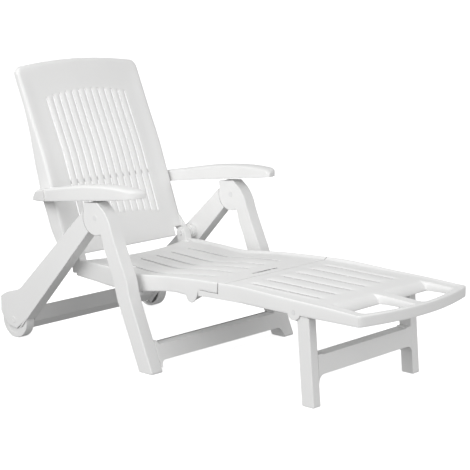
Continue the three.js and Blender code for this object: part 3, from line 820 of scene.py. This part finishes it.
BACK_FRONT = [(763, 966), (754, 944), (719, 864), (671, 755), (625, 656), (585, 548), (529, 399), (496, 315)]
BACK_REAR = [(514, 310), (567, 358), (627, 485), (647, 534), (660, 584), (678, 651), (696, 731), (721, 809),
             (755, 886), (776, 941), (784, 966)]
BACK_HALF = 284
BACK_LAST = 283.4
PITCH = 31  # between the slots of the back
MID_RIB = 546


def backrest():
    centres = [PITCH * k for k in range(7)]
    half = [0, BACK_SLOT]
    for c in centres[:-1]:
        half += [c + 3, c + 7.5, c + 15.5, c + 23.5, c + 28, c + 29.8, c + 32.2]
    half += [189, 194, 202, 214, 226, 239, 249, 258, 265, 270, 275, 279, 282.2, BACK_LAST]
    cols = skirted([x for x in mirrored_columns(half) if x != 0], BACK_HALF)
    zs = [315, 319, 330, 341, 352, 366, 390, 412, 421, 426, 429, 433, 442, 470, 515, 560, 605, 650, 695,
          740, 785, 825, 846, 855, 860, 863, 868, 878, 900, 925, 946, 958, 964, 966]
    rows = [(315, 0.3)] + [(z, 0) for z in zs] + [(966, v) for v in LEVELS]
    front = [(z, y) for y, z in BACK_FRONT]
    rear = [(z, y) for y, z in BACK_REAR]

    def level(x, z):
        slots, top = 19 / 186 ** 2 * min(abs(x), 200) ** 2, 2.48e-4 * x * x
        up, down = ease(868, 966, z), ease(400, 330, z) if z < 400 else 0
        corner = 16 * ease(262, 290, abs(x)) * ease(930, 966, z)
        return z - slots * (1 - up) * (1 - down) - top * up - corner

    def surface(x, z):
        dish = 3.5 * (1 - ease(225, 270, abs(x))) * (1 - ease(890, 955, z))
        field = ease(425, 433, z) * (1 - ease(856, 864, z)) * (1 - ease(187, 191, abs(x)))
        d = abs((abs(x) + PITCH / 2) % PITCH - PITCH / 2) - BACK_SLOT
        rib = (5.5 * math.sin(math.pi / 2 * min(1, max(0, d) / 12)) - 2) * field
        edge = 5 * ease(272, 284.5, abs(x)) ** 2 + 4 * ease(955, 966, z) ** 2
        at = level(x, z)
        return curve_at(front, at) + dish - rib + edge, at

    def point(col, row):
        (x, side), (z, end) = col, row
        if side and end:
            return None
        if side:
            y, at = surface(math.copysign(BACK_LAST, x), z)
            return (x, y + (curve_at(rear, at) - y) * side, at)
        y, at = surface(x, z)
        if end and z > 500:
            corner = math.copysign(BACK_HALF, x) if abs(x) == BACK_LAST else x
            return (corner, y + (curve_at(rear, at) - y) * end, at)
        if end:
            return (x, y + 10, at - 3.5)
        return (x, y, at)

    def hole(c0, c1, r0, r1):
        x, z = (c0[0] + c1[0]) / 2, (r0[0] + r1[0]) / 2
        if abs(x) > 239 and z < 352:
            return True
        if c0[1] or c1[1] or r0[1] or r1[1]:
            return False
        return 429 < z < 860 and near_slot(x, centres, BACK_SLOT)

    body = tray(cols, rows, point, hole)
    adds = []
    for x in (PITCH * (k - 5.5) for k in range(12)):
        heights = [level(x, z) for z in (442, 500, 560, 640, 720, 790, 846)]
        spine = [(curve_at(front, z) + 2.5, z) for z in heights]
        adds.append(prism(strip(spine, -11), x - 1.3, x + 1.3))
    for z in (396, MID_RIB, 876):
        y0, y1 = curve_at(front, z) + (10 if z == MID_RIB else 7), curve_at(rear, z) - 3
        adds.append(box(-BACK_HALF + 2, BACK_HALF - 2, y0, y1, z, z + 3.5))
    for s in (-1, 1):
        lug = [*arc(BACK_PIVOT, 22, 70, 280, 30), (516, 312), (566, 358), (570, 372), (524, 386)]
        adds.append(sided(s, fillet(lug, 3), 275.5, BACK_HALF, r=1.5, r_in=1.0))
        adds.append(disc(s, ARM_PIVOT, 13, 277, BACK_HALF - 0.5, n=40))
    cuts = [disc(s, BACK_PIVOT, HINGE_BORE, 270, 290, n=32) for s in (-1, 1)]
    cuts += [disc(s, ARM_PIVOT, SMALL_BORE, 275, 290, n=32) for s in (-1, 1)]
    body = combine(body, adds=adds, cuts=cuts)
    finish_piece(body, "backrest_shell", "backrest", SHELL, ["backrest_panel"])


ARM_BOTTOM = [(635, 500), (595, 502), (452, 522), (359, 533), (268, 545), (195, 553), (144, 560), (103, 566)]
ARM_TOP = [(97, 584), (105, 590.5), (130, 596), (195, 599), (283, 595), (374, 585), (436, 574), (507, 561),
           (579, 548), (621, 540), (641, 518)]
ARM_PLAN = [(97, 308), (99, 320), (103, 332), (108, 341), (115, 349), (124, 355), (134, 358.5), (146, 360),
            (440, 360), (490, 354.5), (540, 346), (600, 331), (641, 320)]
ARM_IN = 293


def armrest(s, name):
    across = [0, 0.03, 0.1, 0.25, 0.45, 0.65, 0.82, 0.93, 0.985, 1]
    cols = [(0, v) for v in LEVELS[::-1]] + [(u, 0) for u in across] + [(1, v) for v in LEVELS]
    ys = [97, 99, 103, 108, 115, 124, 134, 146, 170, 200, 240, 290, 340, 390, 440, 490, 540, 580, 605,
          620, 630, 637, 640, 641]
    rows = [(97, v) for v in LEVELS[::-1]] + [(y, 0) for y in ys] + [(641, v) for v in LEVELS]
    if s < 0:
        cols = cols[::-1]

    def edge_line(line, y):
        ordered = sorted(line)
        for (a, b), (c, d) in zip(ordered, ordered[1:]):
            if y <= c:
                return b + (d - b) * (y - a) / (c - a)
        return ordered[-1][1]

    def height(u, y):
        fall = 3.2 * abs(2 * u - 1) ** 2.2 + 4.5 * ease(0.86, 1.0, u) ** 2
        fall += 3.5 * ease(0.1, 0.0, u) ** 2 if u < 0.1 else 0
        return edge_line(ARM_TOP, y) - fall - 2.5 * (1 - ease(97, 104, y)) - 2.0 * ease(634, 641, y)

    def point(col, row):
        (u, side), (y, end) = col, row
        if side and end:
            return None
        inner = ARM_IN + max(0, 104 - y) * 0.9
        x = inner + (edge_line(ARM_PLAN, y) - inner) * u
        low = min(edge_line(ARM_BOTTOM, max(y, 103)), height(u, y) - 6)
        z = height(u, y)
        return (s * x, y, z - (z - low) * (side or end))

    def no_hole(*_):
        return False

    body = tray(cols, rows, point, no_hole, wall=3.6)
    inside = [(108, 575), (135, 589), (195, 594), (283, 590), (436, 569), (579, 543), (630, 533), (630, 506),
              (598, 508), (452, 528), (268, 551), (144, 566)]
    adds = []
    for y in (170, 400, 450, 500, 550):
        rib = [(y, 500), (y + RIB, 500), (y + RIB, 610), (y, 610)]
        adds.append(combine(sided(s, rib, ARM_IN + 1, 350), common=[sided(s, inside, ARM_IN + 1, 350)]))
    teeth = []
    for i in range(8):
        y = 150 + i * 24
        z = 562 - (y - 150) * 0.125
        teeth += [(y, z), (y + 10, z + 11), (y + 14, z + 11), (y + 22, z - 2)]
    rack = [*teeth, (345, 589), (283, 591), (195, 596), (152, 593)]
    adds.append(sided(s, rack, 322, 333))
    adds = [combine(a, cuts=[disc(s, APEX, 69.5, 310, 345, n=64)]) for a in adds]
    adds.append(disc(s, ARM_PIVOT, 15, ARM_IN + 0.5, ARM_IN + 20, n=48))
    body = combine(body, adds=adds, cuts=[disc(s, ARM_PIVOT, SMALL_BORE, ARM_IN - 4, ARM_IN + 16, n=32)])
    finish_piece(body, f"armrest_shell_{name}", f"armrest_{name}", SHELL, [f"armrest_{name}"])


seat()
footrest()
backrest()
for side_sign, side_name in SIDES:
    armrest(side_sign, side_name)


# ---------------------------------------------------------------- carried-over CAD pieces
for node_name, node in frame["nodes"].items():
    if not node.hide_render:
        node.data.materials.clear()
        node.data.materials.append(PIN if "pin" in node_name or "axle" in node_name else SHELL)


# ---------------------------------------------------------------- floor, light and camera
FLOOR_GLOW = 0.7
FLOOR_HALF = 9e4
MIDDLE = (0, 0, 0.4)
DIM, BRIGHT = (-0.45, 0.24), (0.25, 0.63)  # (height on the sky, light), below and above


def floor_material():
    mat = bpy.data.materials.new("pale_floor")
    mat.use_nodes = True
    nodes, links = mat.node_tree.nodes, mat.node_tree.links
    shader = nodes["Principled BSDF"]
    coords = nodes.new("ShaderNodeTexCoord")
    noise = nodes.new("ShaderNodeTexNoise")
    noise.inputs["Scale"].default_value = 3.0
    links.new(coords.outputs["Object"], noise.inputs["Vector"])
    ramp = nodes.new("ShaderNodeValToRGB")
    ramp.color_ramp.elements[0].color = (0.93, 0.93, 0.93, 1)
    ramp.color_ramp.elements[1].color = (0.95, 0.95, 0.95, 1)
    links.new(noise.outputs["Fac"], ramp.inputs["Fac"])
    links.new(ramp.outputs["Color"], shader.inputs["Base Color"])
    shader.inputs["Roughness"].default_value = 0.9
    shader.inputs["Specular IOR Level"].default_value = 0.0
    shader.inputs["Emission Color"].default_value = (1, 1, 1, 1)
    shader.inputs["Emission Strength"].default_value = FLOOR_GLOW
    return mat


def area_light(name, location, size, power):
    data = bpy.data.lights.new(name, "AREA")
    data.shape = "DISK"
    data.size = size
    data.energy = power
    light = bpy.data.objects.new(name, data)
    light.location = location
    light.rotation_euler = (Vector(MIDDLE) - Vector(location)).to_track_quat("-Z", "Y").to_euler()
    bpy.context.scene.collection.objects.link(light)


corners = [(x * FLOOR_HALF, y * FLOOR_HALF, 0) for x, y in ((-1, -1), (1, -1), (1, 1), (-1, 1))]
floor = new_object("floor", corners, [(0, 1, 2, 3)])
floor.data.materials.append(floor_material())
floor.visible_diffuse = False
floor.visible_glossy = False

world = bpy.data.worlds.new("studio")
bpy.context.scene.world = world
world.use_nodes = True
tree = world.node_tree
sky = tree.nodes["Background"]
position = tree.nodes.new("ShaderNodeTexCoord")
split = tree.nodes.new("ShaderNodeSeparateXYZ")
tree.links.new(position.outputs["Generated"], split.inputs["Vector"])
height = tree.nodes.new("ShaderNodeMapRange")
height.inputs["From Min"].default_value = DIM[0]
height.inputs["From Max"].default_value = BRIGHT[0]
height.inputs["To Min"].default_value = DIM[1]
height.inputs["To Max"].default_value = BRIGHT[1]
tree.links.new(split.outputs["Z"], height.inputs["Value"])
rays = tree.nodes.new("ShaderNodeLightPath")
backdrop = tree.nodes.new("ShaderNodeMath")
backdrop.operation = "MAXIMUM"
tree.links.new(height.outputs["Result"], backdrop.inputs[0])
tree.links.new(rays.outputs["Is Camera Ray"], backdrop.inputs[1])
tree.links.new(backdrop.outputs["Value"], sky.inputs["Color"])
sky.inputs["Strength"].default_value = 1.0

area_light("key", (-3.2, 0.1, 2.3), 2.6, 73)
area_light("fill", (-1.2, -4.5, 1.2), 3.4, 54)

camera_data = bpy.data.cameras.new("camera")
camera_data.lens = 111.4
camera_data.sensor_width = 36.0
camera_data.clip_end = 300
camera = bpy.data.objects.new("camera", camera_data)
camera.location = (-3.4910, -3.2388, 1.3340)
camera.rotation_mode = "QUATERNION"
camera.rotation_quaternion = Vector((0.7214, 0.6661, -0.1893)).to_track_quat("-Z", "Y")
bpy.context.scene.collection.objects.link(camera)
bpy.context.scene.camera = camera
bpy.context.scene.view_settings.view_transform = "Standard"
